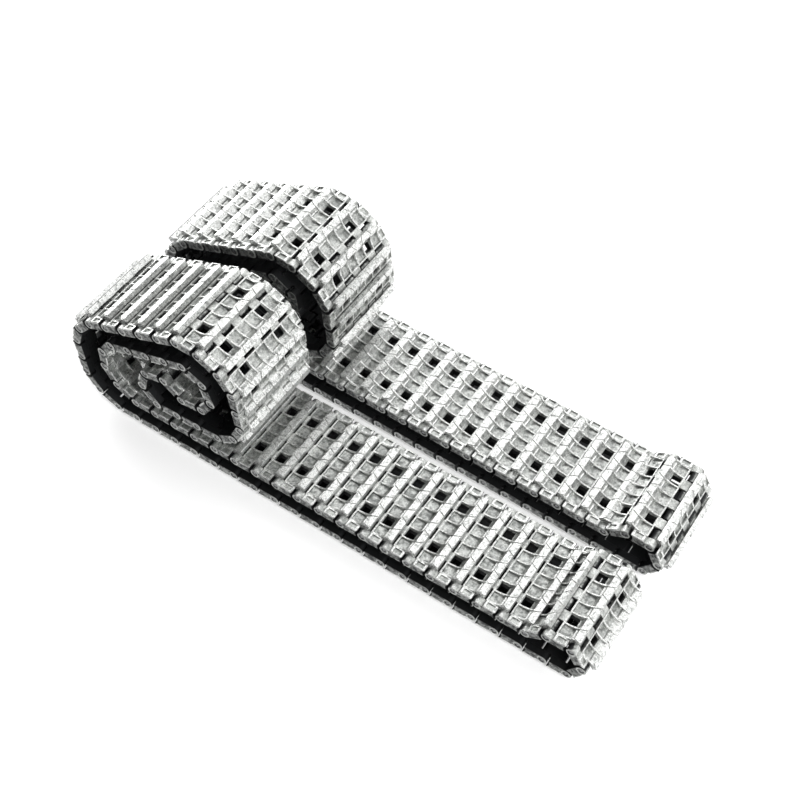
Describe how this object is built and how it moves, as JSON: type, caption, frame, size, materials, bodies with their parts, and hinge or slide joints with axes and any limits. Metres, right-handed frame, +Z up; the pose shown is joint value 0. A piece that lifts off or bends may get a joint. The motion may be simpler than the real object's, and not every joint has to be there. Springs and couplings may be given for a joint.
{
  "type": "rolled pair of model tank tracks",
  "caption": "Pair of cast-metal link tracks for a scale model tank, each a closed loop of hinged links laid flat and rolled up at one end.",
  "frame": {"origin": "on the surface that the pair lies on, under the middle of its box", "axes": "+X along the tracks from the roll to the tight end, +Y from the front track to the back track, +Z up"},
  "size_m": [0.2234, 0.0882, 0.0744],
  "materials": {
    "cast_link": "as-cast silver zinc alloy, bright on the raised bars and dark in the recesses",
    "steel_pin": "drawn steel wire"
  },
  "bodies": {
    "front_floor_run": {"front_floor_run": "cast_link"},
    "front_heel_link_1": {"front_heel_link_1": "cast_link"},
    "front_heel_link_2": {"front_heel_link_2": "cast_link"},
    "front_rear_run": {"front_rear_run": "cast_link"},
    "front_shoulder_link_1": {"front_shoulder_link_1": "cast_link"},
    "front_shoulder_link_2": {"front_shoulder_link_2": "cast_link"},
    "front_roll": {"front_top_run": "cast_link", "front_crown_links": "cast_link", "front_front_run": "cast_link", "front_foot_links": "cast_link", "front_inner_floor_run": "cast_link", "front_closed_end_links": "cast_link", "front_inner_rise_links": "cast_link", "front_inner_top_run": "cast_link"},
    "front_inner_turn_link_1": {"front_inner_turn_link_1": "cast_link"},
    "front_inner_turn_link_2": {"front_inner_turn_link_2": "cast_link"},
    "front_inner_turn_link_3": {"front_inner_turn_link_3": "cast_link"},
    "front_inner_turn_link_4": {"front_inner_turn_link_4": "cast_link"},
    "front_upper_run": {"front_upper_run": "cast_link"},
    "front_end_link_4": {"front_end_link_4": "cast_link"},
    "front_end_link_3": {"front_end_link_3": "cast_link"},
    "front_end_link_2": {"front_end_link_2": "cast_link"},
    "front_end_link_1": {"front_end_link_1": "cast_link"},
    "front_joining_pin": {"front_joining_pin": "steel_pin"},
    "back_floor_run": {"back_floor_run": "cast_link"},
    "back_heel_link_1": {"back_heel_link_1": "cast_link"},
    "back_heel_link_2": {"back_heel_link_2": "cast_link"},
    "back_rear_run": {"back_rear_run": "cast_link"},
    "back_shoulder_link_1": {"back_shoulder_link_1": "cast_link"},
    "back_shoulder_link_2": {"back_shoulder_link_2": "cast_link"},
    "back_roll": {"back_top_run": "cast_link", "back_crown_links": "cast_link", "back_front_run": "cast_link", "back_foot_links": "cast_link", "back_inner_floor_run": "cast_link", "back_closed_end_links": "cast_link", "back_inner_rise_links": "cast_link", "back_inner_top_run": "cast_link"},
    "back_inner_turn_link_1": {"back_inner_turn_link_1": "cast_link"},
    "back_inner_turn_link_2": {"back_inner_turn_link_2": "cast_link"},
    "back_inner_turn_link_3": {"back_inner_turn_link_3": "cast_link"},
    "back_inner_turn_link_4": {"back_inner_turn_link_4": "cast_link"},
    "back_upper_run": {"back_upper_run": "cast_link"},
    "back_end_link_4": {"back_end_link_4": "cast_link"},
    "back_end_link_3": {"back_end_link_3": "cast_link"},
    "back_end_link_2": {"back_end_link_2": "cast_link"},
    "back_end_link_1": {"back_end_link_1": "cast_link"},
    "back_joining_pin": {"back_joining_pin": "steel_pin"}
  },
  "joints": [
    {"name": "front_unroll", "type": "hinge", "parent": "front_floor_run", "child": "front_heel_link_1", "pos_m": [-0.09484, -0.02439, 0.00404], "axis": [0, -1, 0], "range_deg": [0, 27]},
    {"name": "front_heel_pin_2", "type": "hinge", "parent": "front_heel_link_1", "child": "front_heel_link_2", "pos_m": [-0.10298, -0.02439, 0.00874], "axis": [0, -1, 0], "range_deg": [0, 27]},
    {"name": "front_heel_pin_3", "type": "hinge", "parent": "front_heel_link_2", "child": "front_rear_run", "pos_m": [-0.10768, -0.02439, 0.01688], "axis": [0, -1, 0], "range_deg": [0, 27]},
    {"name": "front_shoulder_pin_1", "type": "hinge", "parent": "front_rear_run", "child": "front_shoulder_link_1", "pos_m": [-0.10768, -0.02439, 0.03568], "axis": [0, -1, 0], "range_deg": [0, 19.8]},
    {"name": "front_shoulder_pin_2", "type": "hinge", "parent": "front_shoulder_link_1", "child": "front_shoulder_link_2", "pos_m": [-0.10415, -0.02439, 0.0444], "axis": [0, -1, 0], "range_deg": [0, 19.8]},
    {"name": "front_shoulder_pin_3", "type": "hinge", "parent": "front_shoulder_link_2", "child": "front_roll", "pos_m": [-0.09763, -0.02439, 0.05116], "axis": [0, -1, 0], "range_deg": [0, 19.8]},
    {"name": "front_inner_pin_1", "type": "hinge", "parent": "front_roll", "child": "front_inner_turn_link_1", "pos_m": [-0.08908, -0.02439, 0.04505], "axis": [0, 1, 0], "range_deg": [0, 28.08]},
    {"name": "front_inner_pin_2", "type": "hinge", "parent": "front_inner_turn_link_1", "child": "front_inner_turn_link_2", "pos_m": [-0.09484, -0.02439, 0.03762], "axis": [0, 1, 0], "range_deg": [0, 28.08]},
    {"name": "front_inner_pin_3", "type": "hinge", "parent": "front_inner_turn_link_2", "child": "front_inner_turn_link_3", "pos_m": [-0.09579, -0.02439, 0.02826], "axis": [0, 1, 0], "range_deg": [0, 28.08]},
    {"name": "front_inner_pin_4", "type": "hinge", "parent": "front_inner_turn_link_3", "child": "front_inner_turn_link_4", "pos_m": [-0.09166, -0.02439, 0.01982], "axis": [0, 1, 0], "range_deg": [0, 28.08]},
    {"name": "front_inner_pin_5", "type": "hinge", "parent": "front_inner_turn_link_4", "child": "front_upper_run", "pos_m": [-0.08368, -0.02439, 0.01485], "axis": [0, 1, 0], "range_deg": [0, 28.08]},
    {"name": "front_end_turn", "type": "hinge", "parent": "front_floor_run", "child": "front_end_link_4", "pos_m": [0.10256, -0.02439, 0.00404], "axis": [0, 1, 0], "range_deg": [0, 60]},
    {"name": "front_end_pin_3", "type": "hinge", "parent": "front_end_link_4", "child": "front_end_link_3", "pos_m": [0.10726, -0.02439, 0.01218], "axis": [0, 1, 0], "range_deg": [0, 60]},
    {"name": "front_end_pin_2", "type": "hinge", "parent": "front_end_link_3", "child": "front_end_link_2", "pos_m": [0.10256, -0.02439, 0.02032], "axis": [0, 1, 0], "range_deg": [0, 60]},
    {"name": "front_end_pin_1", "type": "hinge", "parent": "front_end_link_2", "child": "front_end_link_1", "pos_m": [0.09316, -0.02439, 0.02032], "axis": [0, 1, 0], "range_deg": [0, 35.6]},
    {"name": "front_pin_slide", "type": "slide", "parent": "front_floor_run", "child": "front_joining_pin", "axis": [0, -1, 0], "range_m": [0, 0.045]},
    {"name": "back_unroll", "type": "hinge", "parent": "back_floor_run", "child": "back_heel_link_1", "pos_m": [-0.09202, 0.02439, 0.00404], "axis": [0, -1, 0], "range_deg": [0, 27]},
    {"name": "back_heel_pin_2", "type": "hinge", "parent": "back_heel_link_1", "child": "back_heel_link_2", "pos_m": [-0.10016, 0.02439, 0.00874], "axis": [0, -1, 0], "range_deg": [0, 27]},
    {"name": "back_heel_pin_3", "type": "hinge", "parent": "back_heel_link_2", "child": "back_rear_run", "pos_m": [-0.10486, 0.02439, 0.01688], "axis": [0, -1, 0], "range_deg": [0, 27]},
    {"name": "back_shoulder_pin_1", "type": "hinge", "parent": "back_rear_run", "child": "back_shoulder_link_1", "pos_m": [-0.10486, 0.02439, 0.03568], "axis": [0, -1, 0], "range_deg": [0, 19.71]},
    {"name": "back_shoulder_pin_2", "type": "hinge", "parent": "back_shoulder_link_1", "child": "back_shoulder_link_2", "pos_m": [-0.10135, 0.02439, 0.0444], "axis": [0, -1, 0], "range_deg": [0, 19.71]},
    {"name": "back_shoulder_pin_3", "type": "hinge", "parent": "back_shoulder_link_2", "child": "back_roll", "pos_m": [-0.09484, 0.02439, 0.05119], "axis": [0, -1, 0], "range_deg": [0, 19.71]},
    {"name": "back_inner_pin_1", "type": "hinge", "parent": "back_roll", "child": "back_inner_turn_link_1", "pos_m": [-0.08685, 0.02439, 0.04511], "axis": [0, 1, 0], "range_deg": [0, 28.03]},
    {"name": "back_inner_pin_2", "type": "hinge", "parent": "back_inner_turn_link_1", "child": "back_inner_turn_link_2", "pos_m": [-0.09238, 0.02439, 0.03751], "axis": [0, 1, 0], "range_deg": [0, 28.03]},
    {"name": "back_inner_pin_3", "type": "hinge", "parent": "back_inner_turn_link_2", "child": "back_inner_turn_link_3", "pos_m": [-0.09313, 0.02439, 0.02814], "axis": [0, 1, 0], "range_deg": [0, 28.03]},
    {"name": "back_inner_pin_4", "type": "hinge", "parent": "back_inner_turn_link_3", "child": "back_inner_turn_link_4", "pos_m": [-0.08887, 0.02439, 0.01977], "axis": [0, 1, 0], "range_deg": [0, 28.03]},
    {"name": "back_inner_pin_5", "type": "hinge", "parent": "back_inner_turn_link_4", "child": "back_upper_run", "pos_m": [-0.08086, 0.02439, 0.01485], "axis": [0, 1, 0], "range_deg": [0, 28.03]},
    {"name": "back_end_turn", "type": "hinge", "parent": "back_floor_run", "child": "back_end_link_4", "pos_m": [0.10538, 0.02439, 0.00404], "axis": [0, 1, 0], "range_deg": [0, 60]},
    {"name": "back_end_pin_3", "type": "hinge", "parent": "back_end_link_4", "child": "back_end_link_3", "pos_m": [0.11008, 0.02439, 0.01218], "axis": [0, 1, 0], "range_deg": [0, 60]},
    {"name": "back_end_pin_2", "type": "hinge", "parent": "back_end_link_3", "child": "back_end_link_2", "pos_m": [0.10538, 0.02439, 0.02032], "axis": [0, 1, 0], "range_deg": [0, 60]},
    {"name": "back_end_pin_1", "type": "hinge", "parent": "back_end_link_2", "child": "back_end_link_1", "pos_m": [0.09598, 0.02439, 0.02032], "axis": [0, 1, 0], "range_deg": [0, 35.6]},
    {"name": "back_pin_slide", "type": "slide", "parent": "back_floor_run", "child": "back_joining_pin", "axis": [0, 1, 0], "range_m": [0, 0.045]},
    {"name": "back_track_lift", "type": "slide", "parent": "front_floor_run", "child": "back_floor_run", "axis": [0, 0, 1], "range_m": [0, 0.05]}
  ],
  "couplings": [
    {"joint": "front_heel_pin_2", "follows": "front_unroll", "ratio": 1},
    {"joint": "front_heel_pin_3", "follows": "front_unroll", "ratio": 1},
    {"joint": "front_shoulder_pin_1", "follows": "front_unroll", "ratio": 0.73333},
    {"joint": "front_shoulder_pin_2", "follows": "front_unroll", "ratio": 0.73333},
    {"joint": "front_shoulder_pin_3", "follows": "front_unroll", "ratio": 0.73333},
    {"joint": "front_inner_pin_1", "follows": "front_unroll", "ratio": 1.04},
    {"joint": "front_inner_pin_2", "follows": "front_unroll", "ratio": 1.04},
    {"joint": "front_inner_pin_3", "follows": "front_unroll", "ratio": 1.04},
    {"joint": "front_inner_pin_4", "follows": "front_unroll", "ratio": 1.04},
    {"joint": "front_inner_pin_5", "follows": "front_unroll", "ratio": 1.04},
    {"joint": "front_end_pin_3", "follows": "front_end_turn", "ratio": 1},
    {"joint": "front_end_pin_2", "follows": "front_end_turn", "ratio": 1},
    {"joint": "front_end_pin_1", "follows": "front_end_turn", "ratio": 0.59333},
    {"joint": "back_heel_pin_2", "follows": "back_unroll", "ratio": 1},
    {"joint": "back_heel_pin_3", "follows": "back_unroll", "ratio": 1},
    {"joint": "back_shoulder_pin_1", "follows": "back_unroll", "ratio": 0.73},
    {"joint": "back_shoulder_pin_2", "follows": "back_unroll", "ratio": 0.73},
    {"joint": "back_shoulder_pin_3", "follows": "back_unroll", "ratio": 0.73},
    {"joint": "back_inner_pin_1", "follows": "back_unroll", "ratio": 1.038},
    {"joint": "back_inner_pin_2", "follows": "back_unroll", "ratio": 1.038},
    {"joint": "back_inner_pin_3", "follows": "back_unroll", "ratio": 1.038},
    {"joint": "back_inner_pin_4", "follows": "back_unroll", "ratio": 1.038},
    {"joint": "back_inner_pin_5", "follows": "back_unroll", "ratio": 1.038},
    {"joint": "back_end_pin_3", "follows": "back_end_turn", "ratio": 1},
    {"joint": "back_end_pin_2", "follows": "back_end_turn", "ratio": 1},
    {"joint": "back_end_pin_1", "follows": "back_end_turn", "ratio": 0.59333}
  ]
}
